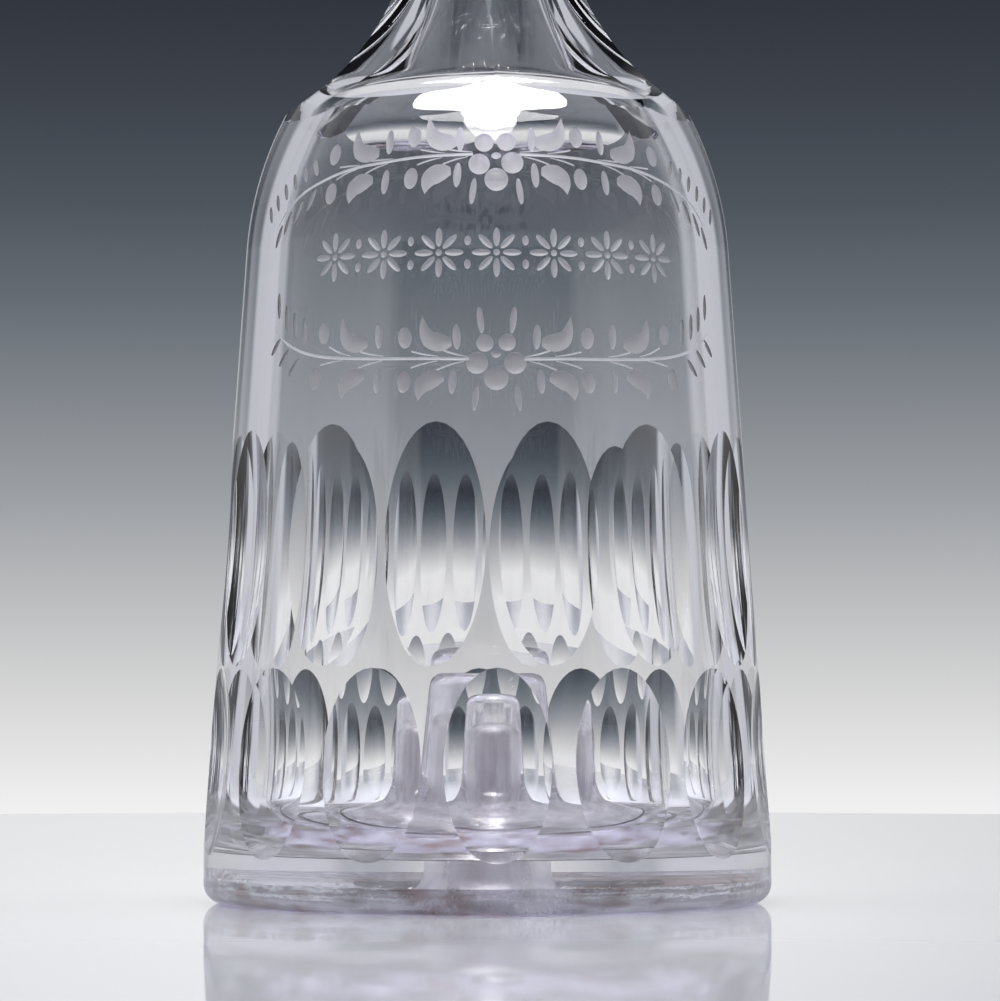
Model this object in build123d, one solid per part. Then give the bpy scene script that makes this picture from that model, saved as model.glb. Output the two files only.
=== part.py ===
from build123d import *
import os
from math import atan2, cos, hypot, pi, sin, sqrt

# A small cut-glass bitters bottle with a push-up base, and the cork-mounted dasher that closes it.
# Sizes are in millimetres. Z is up, and the origin is the middle of the foot, on the table.

# Outside of the glass, from the foot up. Each rise is measured from the place before it,
# and the straight wall takes what they leave of the bottle's height.
bottle_height = 151.6
foot_radius = 37.5
foot_band_height = 7.5
foot_rounding = 2.6
shoulder_start_radius = 32.0
shoulder_rise = 23.2
shoulder_narrowing = 8.2
neck_rise = 23.4
waist_radius = 10.6
collar_rise = 12.6
lip_thickness = 6.4
lip_overhang = 2.7
lip_rounding = 2.4

# Inside of the glass
wall = 4.4
foot_wall = 4.9
neck_wall = 4.6
inner_shoulder_rounding = 14.0
floor_thickness = 6.6
floor_rounding = 7.0
floor_rim_width = 8.6
bore_mouth_radius = 6.4
bore_edge_rounding = 0.6

# Push-up in the middle of the base
pushup_height = 30.0
pushup_top_radius = 7.5
pushup_foot_radius = 9.4
pushup_foot_rise = 6.0
pushup_top_rounding = 1.8
pushup_flare = 5.0
pushup_roof = 5.0
hollow_mouth_radius = 5.6
hollow_end_radius = 5.0
hollow_mouth_rounding = 5.0

# Oval cuts round the body, in two rows half a pitch apart
ovals_per_row = 14
lower_oval_rise = 11.0
lower_oval_depth = 1.5
lower_wheel_radius = 51.3
upper_oval_rise = 27.8
upper_oval_depth = 1.4
upper_wheel_radius = 84.7
oval_crown_radius = 26.5
oval_wheel_width = 22.0

# Flutes round the neck
flute_count = 6
flute_waist_depth = 0.6
flute_wheel_radius = 32.5
flute_crown_radius = 200.0
flute_wheel_width = 30.0

# Cork and what clamps it
cork_length = 18.4
cork_fit = 0.05
tube_radius = 2.0
tube_bore = 1.3
tube_fit = 0.03
washer_clearance = 1.4
washer_thickness = 0.8
nut_across_flats = 7.0
nut_thickness = 2.8
nut_chamfer = 0.5
tube_tail = 3.0

# Silver-plated mount on the lip
seat_fit = 0.05
plate_inset = 0.6
plate_rim_thickness = 1.5
plate_dome_height = 4.2
plate_boss_radius = 5.2
bead_count = 36
bead_radius = 1.0

# Dasher nozzle and its pull-off cap
nozzle_foot_height = 1.6
nozzle_waist_radius = 3.4
nozzle_height = 17.0
nozzle_tip_radius = 2.6
nozzle_tip_length = 7.0
nozzle_shoulder_radius = 4.3
nozzle_edge_rounding = 0.7
tube_reach = 6.5
orifice_radius = 0.8
cap_fit = 0.05
cap_wall = 0.9
cap_head_room = 0.4
cap_roof = 1.6
finial_radius = 3.1
finial_neck_radius = 1.6
finial_neck_length = 1.2
cap_rim_radius = 4.4
cap_rim_height = 1.1

# Direction of the engraved side, seen from above, in degrees
front = -90

# Overrun of every cut past the surface that it leaves
overrun = 2.0


def circles_meet(centre_a, radius_a, centre_b, radius_b):
    """Gives the lower of the two points where two circles cross."""
    across, up = centre_b[0] - centre_a[0], centre_b[1] - centre_a[1]
    apart = hypot(across, up)
    along = (radius_a**2 - radius_b**2 + apart**2) / (2 * apart)
    aside = sqrt(radius_a**2 - along**2)
    ends = [
        (
            centre_a[0] + (along * across - side * aside * up) / apart,
            centre_a[1] + (along * up + side * aside * across) / apart,
        )
        for side in (-1, 1)
    ]
    return min(ends, key=lambda point: point[1])


def arc_about(centre, start, end):
    """Gives the shorter arc about a centre from one point to another."""
    radius = hypot(start[0] - centre[0], start[1] - centre[1])
    first = atan2(start[1] - centre[1], start[0] - centre[0])
    last = atan2(end[1] - centre[1], end[0] - centre[0])
    turn = (last - first + pi) % (2 * pi) - pi
    middle = first + turn / 2
    through = (centre[0] + radius * cos(middle), centre[1] + radius * sin(middle))
    return ThreePointArc(start, through, end)


def rounded(face, corner, radius):
    """Rounds the corner of a flat outline that lies nearest a point."""
    vertex = min(face.vertices(), key=lambda v: hypot(v.X - corner[0], v.Y - corner[1]))
    return fillet(vertex, radius)


def turned(face):
    """Turns a half section, drawn with its axis upright, about the bottle's axis."""
    return revolve(Plane.XZ * face, Axis.Z)


# Heights down the outside, and the radius at the neck's root
lip_bottom = bottle_height - lip_thickness
waist_height = lip_bottom - collar_rise
neck_root_height = waist_height - neck_rise
neck_root_radius = shoulder_start_radius - shoulder_narrowing
shoulder_start_height = neck_root_height - shoulder_rise

# The shoulder is an arc that leaves the straight wall smoothly and ends at the neck's root
wall_rise = shoulder_start_height - foot_band_height
wall_slope = (foot_radius - shoulder_start_radius) / wall_rise
wall_tilt = atan2(wall_slope, 1)
shoulder_span = shoulder_narrowing**2 + shoulder_rise**2
shoulder_sag = shoulder_narrowing * cos(wall_tilt) - shoulder_rise * sin(wall_tilt)
shoulder_rounding = shoulder_span / (2 * shoulder_sag)
shoulder_centre = (
    shoulder_start_radius - shoulder_rounding * cos(wall_tilt),
    shoulder_start_height - shoulder_rounding * sin(wall_tilt),
)

# The neck is an arc from its root up to the lip, upright at the waist
neck_narrowing = neck_root_radius - waist_radius
neck_sweep = (neck_narrowing**2 + neck_rise**2) / (2 * neck_narrowing)
neck_centre = (waist_radius + neck_sweep, waist_height)
neck_top_radius = neck_centre[0] - sqrt(neck_sweep**2 - collar_rise**2)
lip_radius = neck_top_radius + lip_overhang

# The inside keeps one wall under the shoulder and another under the neck, down from the ground bore
bore_waist_radius = waist_radius - neck_wall
inner_shoulder = shoulder_rounding - wall
inner_neck = neck_sweep + neck_wall
inner_root = circles_meet(shoulder_centre, inner_shoulder, neck_centre, inner_neck)


def wall_radius(height):
    """Gives the outside radius of the straight wall at a height."""
    return foot_radius - wall_slope * (height - foot_band_height)


def bore_radius(height):
    """Gives the radius of the ground bore at a height above the waist."""
    share = (height - waist_height) / (bottle_height - waist_height)
    return bore_waist_radius + share * (bore_mouth_radius - bore_waist_radius)


def glass_blank():
    """Turns the bottle up to the underside of its lip, before any cut is made in it."""
    foot_corner = (foot_radius, 0)
    shoulder_start = (shoulder_start_radius, shoulder_start_height)
    neck_root = (neck_root_radius, neck_root_height)
    neck_top = (neck_top_radius, lip_bottom)
    bore_top = (bore_radius(lip_bottom), lip_bottom)
    bore_waist = (bore_waist_radius, waist_height)
    inner_wall_top = (
        shoulder_centre[0] + inner_shoulder * cos(wall_tilt),
        shoulder_centre[1] + inner_shoulder * sin(wall_tilt),
    )
    floor_corner = (foot_radius - foot_wall, floor_thickness)
    dish = (floor_corner[0] - floor_rim_width, floor_thickness)
    pushup_foot = (pushup_foot_radius, floor_thickness + pushup_foot_rise)
    pushup_edge = (pushup_top_radius, pushup_height)
    pushup_middle = (0, pushup_height)
    hollow_height = pushup_height - pushup_roof
    hollow_middle = (0, hollow_height)
    hollow_edge = (hollow_end_radius, hollow_height)
    hollow_mouth = (hollow_mouth_radius, 0)
    outline = [
        Line(hollow_mouth, foot_corner),
        Line(foot_corner, (foot_radius, foot_band_height)),
        Line((foot_radius, foot_band_height), shoulder_start),
        arc_about(shoulder_centre, shoulder_start, neck_root),
        arc_about(neck_centre, neck_root, neck_top),
        Line(neck_top, bore_top),
        Line(bore_top, bore_waist),
        arc_about(neck_centre, bore_waist, inner_root),
        arc_about(shoulder_centre, inner_root, inner_wall_top),
        Line(inner_wall_top, floor_corner),
        Line(floor_corner, dish),
        Line(dish, pushup_foot),
        Line(pushup_foot, pushup_edge),
        Line(pushup_edge, pushup_middle),
        Line(pushup_middle, hollow_middle),
        Line(hollow_middle, hollow_edge),
        Line(hollow_edge, hollow_mouth),
    ]
    section = make_face(outline)
    section = rounded(section, foot_corner, foot_rounding)
    section = rounded(section, inner_root, inner_shoulder_rounding)
    section = rounded(section, floor_corner, floor_rounding)
    section = rounded(section, pushup_foot, pushup_flare)
    section = rounded(section, pushup_edge, pushup_top_rounding)
    section = rounded(section, hollow_edge, hollow_end_radius / 2)
    section = rounded(section, hollow_mouth, hollow_mouth_rounding)
    return turned(section)


def glass_lip():
    """Turns the round lip, which stands out over the ends of the flutes."""
    lip_under = (lip_radius, lip_bottom)
    lip_over = (lip_radius, bottle_height)
    mouth = (bore_mouth_radius, bottle_height)
    bore_top = (bore_radius(lip_bottom), lip_bottom)
    section = make_face(Polyline(bore_top, lip_under, lip_over, mouth, close=True))
    section = rounded(section, lip_under, lip_rounding)
    section = rounded(section, lip_over, lip_rounding)
    section = rounded(section, mouth, bore_edge_rounding)
    return turned(section)


def cutting_wheel(rim_radius, crown_radius, width):
    """Makes a wheel with a crowned rim, its axle along Y."""
    half = width / 2
    rim_drop = crown_radius - sqrt(crown_radius**2 - half**2)
    shoulder = rim_radius - rim_drop
    section = make_face(
        [
            Line((0, -half), (shoulder, -half)),
            ThreePointArc((shoulder, -half), (rim_radius, 0), (shoulder, half)),
            Line((shoulder, half), (0, half)),
            Line((0, half), (0, -half)),
        ]
    )
    return revolve(section, Axis.Y)


def oval_row(height, depth, wheel_radius, first_angle):
    """Places the wheels that cut one row of ovals square to the sloping wall."""
    reach = wheel_radius - depth
    wheel = cutting_wheel(wheel_radius, oval_crown_radius, oval_wheel_width)
    across = wall_radius(height) + reach * cos(wall_tilt)
    up = height + reach * sin(wall_tilt)
    wheel = Pos(across, 0, up) * wheel
    turns = [first_angle + 360 * i / ovals_per_row for i in range(ovals_per_row)]
    return [Rot(0, 0, turn) * wheel for turn in turns]


def neck_flutes():
    """Places the wheels that cut the flutes, with an edge between two of them at the front."""
    wheel = cutting_wheel(flute_wheel_radius, flute_crown_radius, flute_wheel_width)
    wheel = Pos(waist_radius - flute_waist_depth + flute_wheel_radius, 0, waist_height) * wheel
    turns = [front + 360 * (i + 1 / 2) / flute_count for i in range(flute_count)]
    return [Rot(0, 0, turn) * wheel for turn in turns]


def glass_bottle():
    """Cuts the ovals and flutes into the blank, then sets the lip on it."""
    pitch = 360 / ovals_per_row
    lower_oval_height = foot_band_height + lower_oval_rise
    lower = oval_row(lower_oval_height, lower_oval_depth, lower_wheel_radius, front)
    upper_oval_height = lower_oval_height + upper_oval_rise
    upper = oval_row(upper_oval_height, upper_oval_depth, upper_wheel_radius, front + pitch / 2)
    # The blank's seam is turned away from the edges between the flutes, where a cut along it would fail
    glass = Rot(0, 0, front + pitch / 2) * glass_blank()
    for wheel in upper + lower + neck_flutes():
        glass -= wheel
    return glass + glass_lip()


# The cork and its clamp hang below the lip, round the pouring tube
cork_bottom = bottle_height - cork_length
washer_bottom = cork_bottom - washer_thickness
nut_bottom = washer_bottom - nut_thickness
tube_bottom = nut_bottom - tube_tail
plate_radius = lip_radius - lip_rounding - plate_inset
plate_bottom = bottle_height + seat_fit
boss_top = plate_bottom + plate_dome_height
nozzle_top = boss_top + nozzle_height
tube_top = boss_top + tube_reach
tip_bottom = nozzle_top - nozzle_tip_length
tube_hole_radius = tube_radius + tube_fit


def ring(inner_radius, outer_radius, bottom, top):
    """Makes a plain ring between two heights."""
    height = top - bottom
    middle = (bottom + top) / 2
    hole = Cylinder(inner_radius, height + 2 * overrun)
    return Pos(0, 0, middle) * (Cylinder(outer_radius, height) - hole)


def cork_bung():
    """Makes the tapered cork, bored for the pouring tube."""
    bottom_radius = bore_radius(cork_bottom) - cork_fit
    top_radius = bore_radius(bottle_height) - cork_fit
    outline = Polyline(
        (tube_hole_radius, cork_bottom),
        (bottom_radius, cork_bottom),
        (top_radius, bottle_height),
        (tube_hole_radius, bottle_height),
        close=True,
    )
    return turned(make_face(outline))


def cork_washer():
    """Makes the washer that spreads the nut's pull over the cork's end."""
    return ring(tube_hole_radius, bore_waist_radius - washer_clearance, washer_bottom, cork_bottom)


def clamp_nut():
    """Makes the six-sided nut, with its corners turned off at both ends."""
    corner_radius = nut_across_flats / (2 * cos(pi / 6))
    blank = extrude(RegularPolygon(corner_radius, 6), nut_thickness)
    round_bar = Cylinder(corner_radius, nut_thickness, align=(Align.CENTER, Align.CENTER, Align.MIN))
    round_bar = chamfer(round_bar.edges().filter_by(GeomType.CIRCLE), nut_chamfer)
    hole = Cylinder(tube_hole_radius, 2 * nut_thickness + overrun)
    return Pos(0, 0, nut_bottom) * ((blank & round_bar) - hole)


def pouring_tube():
    """Makes the tube that holds nut, cork, plate and nozzle in one line."""
    return ring(tube_bore, tube_radius, tube_bottom, tube_top)


def mount_plate():
    """Makes the domed plate on the lip, with a row of beads round its rim."""
    rim_top = plate_bottom + plate_rim_thickness
    rim_inside = plate_radius - bead_radius
    outline = [
        Line((tube_hole_radius, plate_bottom), (plate_radius, plate_bottom)),
        Line((plate_radius, plate_bottom), (plate_radius, rim_top)),
        Line((plate_radius, rim_top), (rim_inside, rim_top)),
        RadiusArc((rim_inside, rim_top), (plate_boss_radius, boss_top), rim_inside),
        Line((plate_boss_radius, boss_top), (tube_hole_radius, boss_top)),
        Line((tube_hole_radius, boss_top), (tube_hole_radius, plate_bottom)),
    ]
    plate = turned(make_face(outline))
    bead_height = plate_bottom + plate_rim_thickness / 2
    bead = Pos(plate_radius, 0, bead_height) * Sphere(bead_radius)
    floor = Pos(0, 0, plate_bottom - bead_radius) * Cylinder(
        plate_radius + 2 * bead_radius, 2 * bead_radius
    )
    beads = [Rot(0, 0, 360 * i / bead_count) * bead for i in range(bead_count)]
    return plate + beads - floor


def dasher_nozzle():
    """Makes the waisted nozzle with its small orifice."""
    foot_top = boss_top + nozzle_foot_height
    shoulder_height = (foot_top + tip_bottom) / 2
    outline = [
        Line((tube_hole_radius, boss_top), (plate_boss_radius, boss_top)),
        Line((plate_boss_radius, boss_top), (plate_boss_radius, foot_top)),
        ThreePointArc(
            (plate_boss_radius, foot_top),
            (nozzle_waist_radius, shoulder_height),
            (nozzle_shoulder_radius, tip_bottom),
        ),
        Line((nozzle_shoulder_radius, tip_bottom), (nozzle_tip_radius, tip_bottom)),
        Line((nozzle_tip_radius, tip_bottom), (nozzle_tip_radius, nozzle_top)),
        Line((nozzle_tip_radius, nozzle_top), (orifice_radius, nozzle_top)),
        Line((orifice_radius, nozzle_top), (orifice_radius, tube_top)),
        Line((orifice_radius, tube_top), (tube_hole_radius, tube_top)),
        Line((tube_hole_radius, tube_top), (tube_hole_radius, boss_top)),
    ]
    section = make_face(outline)
    section = rounded(section, (nozzle_tip_radius, nozzle_top), nozzle_edge_rounding)
    section = rounded(section, (plate_boss_radius, foot_top), nozzle_edge_rounding)
    return turned(section)


def nozzle_cap():
    """Makes the pull-off cap with its acorn finial."""
    socket_radius = nozzle_tip_radius + cap_fit
    outside_radius = socket_radius + cap_wall
    cap_bottom = tip_bottom + seat_fit
    socket_top = nozzle_top + cap_head_room
    roof_top = socket_top + cap_roof
    rim_top = cap_bottom + cap_rim_height
    neck_top = roof_top + finial_neck_length
    outline = [
        Line((socket_radius, cap_bottom), (cap_rim_radius, cap_bottom)),
        Line((cap_rim_radius, cap_bottom), (cap_rim_radius, rim_top)),
        Line((cap_rim_radius, rim_top), (outside_radius, rim_top)),
        Line((outside_radius, rim_top), (outside_radius, roof_top)),
        Line((outside_radius, roof_top), (finial_neck_radius, roof_top)),
        Line((finial_neck_radius, roof_top), (finial_neck_radius, neck_top)),
        Line((finial_neck_radius, neck_top), (0, neck_top)),
        Line((0, neck_top), (0, socket_top)),
        Line((0, socket_top), (socket_radius, socket_top)),
        Line((socket_radius, socket_top), (socket_radius, cap_bottom)),
    ]
    section = make_face(outline)
    section = rounded(section, (outside_radius, roof_top), cap_wall)
    section = rounded(section, (cap_rim_radius, rim_top), cap_rim_height / 3)
    finial_rise = sqrt(finial_radius**2 - finial_neck_radius**2)
    finial = Pos(0, 0, neck_top + finial_rise) * Sphere(finial_radius)
    return turned(section) + finial


pieces = {
    "glass_bottle": glass_bottle(),
    "cork_bung": cork_bung(),
    "cork_washer": cork_washer(),
    "clamp_nut": clamp_nut(),
    "pouring_tube": pouring_tube(),
    "mount_plate": mount_plate(),
    "dasher_nozzle": dasher_nozzle(),
    "nozzle_cap": nozzle_cap(),
}

os.makedirs("parts", exist_ok=True)
for name, piece in pieces.items():
    export_step(piece, f"parts/{name}.step")
    print(name, "volume", round(piece.volume), "top", round(piece.bounding_box().max.Z, 2))
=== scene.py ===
from math import atan2, ceil, cos, hypot, pi, radians, sin, sqrt, tan
import bpy
import numpy as np
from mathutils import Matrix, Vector, kdtree
from mathutils.geometry import delaunay_2d_cdt


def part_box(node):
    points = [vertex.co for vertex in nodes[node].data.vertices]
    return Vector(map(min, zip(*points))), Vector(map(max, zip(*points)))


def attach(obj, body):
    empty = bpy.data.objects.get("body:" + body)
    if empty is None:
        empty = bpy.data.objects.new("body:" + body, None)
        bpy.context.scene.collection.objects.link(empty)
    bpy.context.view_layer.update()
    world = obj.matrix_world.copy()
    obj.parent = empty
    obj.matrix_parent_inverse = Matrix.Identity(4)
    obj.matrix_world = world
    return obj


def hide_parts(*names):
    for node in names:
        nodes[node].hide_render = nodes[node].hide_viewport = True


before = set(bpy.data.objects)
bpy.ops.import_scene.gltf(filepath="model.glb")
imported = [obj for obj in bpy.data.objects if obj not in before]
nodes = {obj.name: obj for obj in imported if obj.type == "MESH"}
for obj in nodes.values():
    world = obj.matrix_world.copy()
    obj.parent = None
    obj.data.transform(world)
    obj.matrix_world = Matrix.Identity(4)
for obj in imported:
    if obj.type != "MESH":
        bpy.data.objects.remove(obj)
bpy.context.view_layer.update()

# Glass shapes are worked out in millimetres and turned into metres when the mesh is made.
# Turns round the bottle are counted from the engraved front, which faces -Y, and grow towards +X.
mm = 0.001
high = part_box("glass_bottle")[1]  # the greatest x, y and z
print("frame loaded:", len(nodes), "nodes")


class Link:  # a node's output, which maths can be written with
    def __init__(self, shop, socket):
        self.shop, self.socket = shop, socket

    def maths(self, operation, left, right):
        return self.shop.add("ShaderNodeMath", {"operation": operation}, {0: left, 1: right})

    def __add__(self, other):
        return self.maths("ADD", self, other)

    def __radd__(self, other):
        return self.maths("ADD", other, self)

    def __sub__(self, other):
        return self.maths("SUBTRACT", self, other)

    def __rsub__(self, other):
        return self.maths("SUBTRACT", other, self)

    def __mul__(self, other):
        return self.maths("MULTIPLY", self, other)

    def __rmul__(self, other):
        return self.maths("MULTIPLY", other, self)


class Shop:  # adds nodes to one material or world
    def __init__(self, owner):
        owner.use_nodes = True
        self.tree = owner.node_tree
        self.tree.nodes.clear()

    def add(self, kind, settings=None, inputs=None, output=0):
        node = self.tree.nodes.new(kind)
        for name, value in (settings or {}).items():
            if name == "stops":
                elements = node.color_ramp.elements
                while len(elements) < len(value):
                    elements.new(1)
                for element, (place, colour) in zip(elements, value):
                    element.position, element.color = place, (*colour, 1)
            else:
                setattr(node, name, value)
        for name, value in (inputs or {}).items():
            if isinstance(value, Link):
                self.tree.links.new(value.socket, node.inputs[name])
            else:
                node.inputs[name].default_value = value
        return Link(self, node.outputs[output]) if node.outputs else None

    def mix(self, factor, first, second):
        return self.add("ShaderNodeMix", {"data_type": "RGBA"}, {0: factor, 6: first, 7: second}, 2)

    def multiply(self, first, second):
        settings = {"data_type": "RGBA", "blend_type": "MULTIPLY"}
        return self.add("ShaderNodeMix", settings, {0: 1.0, 6: first, 7: second}, 2)

    def ramp(self, value, stops):
        return self.add("ShaderNodeValToRGB", {"stops": stops}, {0: value})

    def noise(self, scale, detail=3.0, stretch=(1, 1, 1)):
        place = self.add("ShaderNodeTexCoord", output="Object")
        place = self.add("ShaderNodeMapping", {}, {"Vector": place, "Scale": stretch})
        return self.add("ShaderNodeTexNoise", {}, {"Vector": place, "Scale": scale, "Detail": detail})

    def bump(self, height, strength, distance):
        return self.add("ShaderNodeBump", {}, {"Height": height, "Strength": strength, "Distance": distance})

    def finish(self, inputs, volume=None):
        surface = self.add("ShaderNodeBsdfPrincipled", {}, inputs)
        ends = {"Surface": surface}
        if volume:  # glass: lamps shine through it, so that its shadow is pale
            shine = self.add("ShaderNodeLightPath", output="Is Shadow Ray") * glassLook["shine"]
            clear = self.add("ShaderNodeBsdfTransparent")
            surface = self.add("ShaderNodeMixShader", {}, {0: shine, 1: surface, 2: clear})
            ends = {"Surface": surface, "Volume": volume}
        self.add("ShaderNodeOutputMaterial", {}, ends)


def grey(share):
    return (share, share, share)


# Outline of the glass, as half a section. Each rise is measured from the place below it.
glass = {
    "height": high.z / mm,
    "footRadius": high.x / mm,
    "footRounding": 2.6,
    "footMargin": 0.8,
    "bandHeight": 7.5,
    "shoulderRadius": 32.0,
    "shoulderRise": 23.2,
    "shoulderNarrowing": 8.2,
    "neckRise": 23.4,
    "waistRadius": 10.6,
    "collarRise": 12.6,
    "lipThickness": 6.4,
    "lipOverhang": 2.7,
    "lipRounding": 2.4,
    "wall": 4.4,
    "footWall": 4.9,
    "neckWall": 4.6,
    "innerRounding": 14.0,
    "floorThickness": 6.6,
    "floorRounding": 7.0,
    "floorRim": 8.6,
    "dishRounding": 10.0,
    "mouthRadius": 6.4,
    "mouthRounding": 0.6,
    "pushupHeight": 30.0,
    "pushupRadius": 7.5,
    "pushupRounding": 1.8,
    "pushupFootRadius": 9.4,
    "pushupFootRise": 6.0,
    "pushupFlare": 5.0,
    "pushupRoof": 5.0,
    "hollowRadius": 5.0,
    "hollowMouth": 5.6,
    "hollowRounding": 5.0,
    "columns": 256,
    "weld": 0.0005,
}


def circlesMeet(centreA, radiusA, centreB, radiusB):  # the lower of the two crossings
    across, up = centreB[0] - centreA[0], centreB[1] - centreA[1]
    apart = hypot(across, up)
    along = (radiusA**2 - radiusB**2 + apart**2) / (2 * apart)
    aside = sqrt(radiusA**2 - along**2)
    ends = []
    for side in (-aside, aside):
        x = centreA[0] + (along * across - side * up) / apart
        ends.append((x, centreA[1] + (along * up + side * across) / apart))
    return min(ends, key=lambda point: point[1])


def arc(centre, start, end, step=0.6):  # the shorter way round
    radius = hypot(start[0] - centre[0], start[1] - centre[1])
    first = atan2(start[1] - centre[1], start[0] - centre[0])
    turn = atan2(end[1] - centre[1], end[0] - centre[0]) - first
    turn = (turn + pi) % (2 * pi) - pi
    count = max(4, ceil(abs(turn) * radius / step))
    turns = [first + turn * i / count for i in range(count + 1)]
    return [(centre[0] + radius * cos(a), centre[1] + radius * sin(a)) for a in turns]


def straight(start, end, step=4.0):
    count = ceil(hypot(end[0] - start[0], end[1] - start[1]) / step)
    shares = [i / count for i in range(count + 1)]
    return [(start[0] + (end[0] - start[0]) * s, start[1] + (end[1] - start[1]) * s) for s in shares]


def corner(before, at, after, radius):  # a rounded corner between two straight runs
    at = Vector(at)
    back = (Vector(before) - at).normalized()
    on = (Vector(after) - at).normalized()
    half = back.angle(on) / 2
    centre = at + (back + on).normalized() * radius / sin(half)
    reach = radius / tan(half)
    return arc(centre, at + back * reach, at + on * reach, radius / 8)


def joined(*stretches):  # one run of points, with straight runs across the gaps
    run = []
    for stretch in stretches:
        if run:
            run += straight(run[-1], stretch[0])[1:-1] if Vector(run[-1]) != Vector(stretch[0]) else []
            stretch = [p for p in stretch if hypot(p[0] - run[-1][0], p[1] - run[-1][1]) > 1e-6]
        run += [tuple(p) for p in stretch]
    return run


lipBottom = glass["height"] - glass["lipThickness"]
waistHeight = lipBottom - glass["collarRise"]
neckRoot = (glass["shoulderRadius"] - glass["shoulderNarrowing"], waistHeight - glass["neckRise"])
shoulderHeight = neckRoot[1] - glass["shoulderRise"]
wallSlope = (glass["footRadius"] - glass["shoulderRadius"]) / (shoulderHeight - glass["bandHeight"])
wallTilt = atan2(wallSlope, 1)
shoulderSpan = glass["shoulderNarrowing"] ** 2 + glass["shoulderRise"] ** 2
shoulderSag = glass["shoulderNarrowing"] * cos(wallTilt) - glass["shoulderRise"] * sin(wallTilt)
shoulderSweep = shoulderSpan / (2 * shoulderSag)
shoulderCentre = (
    glass["shoulderRadius"] - shoulderSweep * cos(wallTilt),
    shoulderHeight - shoulderSweep * sin(wallTilt),
)
neckNarrowing = neckRoot[0] - glass["waistRadius"]
neckSweep = (neckNarrowing**2 + glass["neckRise"] ** 2) / (2 * neckNarrowing)
neckCentre = (glass["waistRadius"] + neckSweep, waistHeight)
lipRadius = neckCentre[0] - sqrt(neckSweep**2 - glass["collarRise"] ** 2) + glass["lipOverhang"]
cutsFrom = glass["footRounding"] + glass["footMargin"]  # the cut and engraved stretch lies between these heights
cutsTo = lipBottom


def wallAt(height):  # outside radius before any cut
    height = np.asarray(height, float)
    sloped = glass["footRadius"] - wallSlope * np.maximum(height - glass["bandHeight"], 0)
    rise = np.clip(height - shoulderCentre[1], 0, shoulderSweep - 1)
    shoulder = shoulderCentre[0] + np.sqrt(shoulderSweep**2 - rise**2)
    drop = np.clip(waistHeight - height, 1 - neckSweep, neckSweep - 1)
    neck = neckCentre[0] - np.sqrt(neckSweep**2 - drop**2)
    return np.where(height < shoulderHeight, sloped, np.where(height < neckRoot[1], shoulder, neck))


def hollowRun():
    hollowHeight = glass["pushupHeight"] - glass["pushupRoof"]
    top, edge = (0, hollowHeight), (glass["hollowRadius"], hollowHeight)
    mouth, foot = (glass["hollowMouth"], 0), (glass["footRadius"], 0)
    return joined(
        [top],
        corner(top, edge, mouth, glass["hollowRadius"] / 2),
        corner(edge, mouth, foot, glass["hollowRounding"]),
    )


def baseRun():
    edge, top = (glass["footRadius"], 0), (glass["footRadius"], cutsFrom)
    return joined([hollowRun()[-1]], corner((0, 0), edge, top, glass["footRounding"]), [top])


def lipRun():  # round the lip and into the mouth
    under, over = (lipRadius, lipBottom), (lipRadius, glass["height"])
    mouth, bore = (glass["mouthRadius"], glass["height"]), (glass["waistRadius"] - glass["neckWall"], waistHeight)
    first = corner((0, lipBottom), under, over, glass["lipRounding"])
    second = corner(under, over, mouth, glass["lipRounding"])
    return joined(first, second, corner(over, mouth, bore, glass["mouthRounding"]), [bore])


def pushupCorners():
    dish = (glass["footRadius"] - glass["footWall"] - glass["floorRim"], glass["floorThickness"])
    foot = (glass["pushupFootRadius"], glass["floorThickness"] + glass["pushupFootRise"])
    return dish, foot, (glass["pushupRadius"], glass["pushupHeight"]), (0, glass["pushupHeight"])


def insideRun():  # down the bore, the inside of the wall and the floor
    bore = (glass["waistRadius"] - glass["neckWall"], waistHeight)
    innerNeck = neckSweep + glass["neckWall"]
    innerSweep, rounding = shoulderSweep - glass["wall"], glass["innerRounding"]
    centre = circlesMeet(shoulderCentre, innerSweep - rounding, neckCentre, innerNeck + rounding)
    neckEnd = Vector(neckCentre) + (Vector(centre) - Vector(neckCentre)).normalized() * innerNeck
    shoulderEnd = Vector(shoulderCentre) + (Vector(centre) - Vector(shoulderCentre)).normalized() * innerSweep
    wallTop = (shoulderCentre[0] + innerSweep * cos(wallTilt), shoulderCentre[1] + innerSweep * sin(wallTilt))
    floorCorner = (glass["footRadius"] - glass["footWall"], glass["floorThickness"])
    dish, foot, _, _ = pushupCorners()
    return joined(
        arc(neckCentre, bore, neckEnd),
        arc(centre, neckEnd, shoulderEnd),
        arc(shoulderCentre, shoulderEnd, wallTop),
        corner(wallTop, floorCorner, dish, glass["floorRounding"]),
        corner(floorCorner, dish, foot, glass["dishRounding"]),
    )


def pushupRun():
    dish, foot, edge, top = pushupCorners()
    return joined(
        insideRun()[-1:],
        corner(dish, foot, edge, glass["pushupFlare"]),
        corner(foot, edge, top, glass["pushupRounding"]),
        [top],
    )


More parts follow.
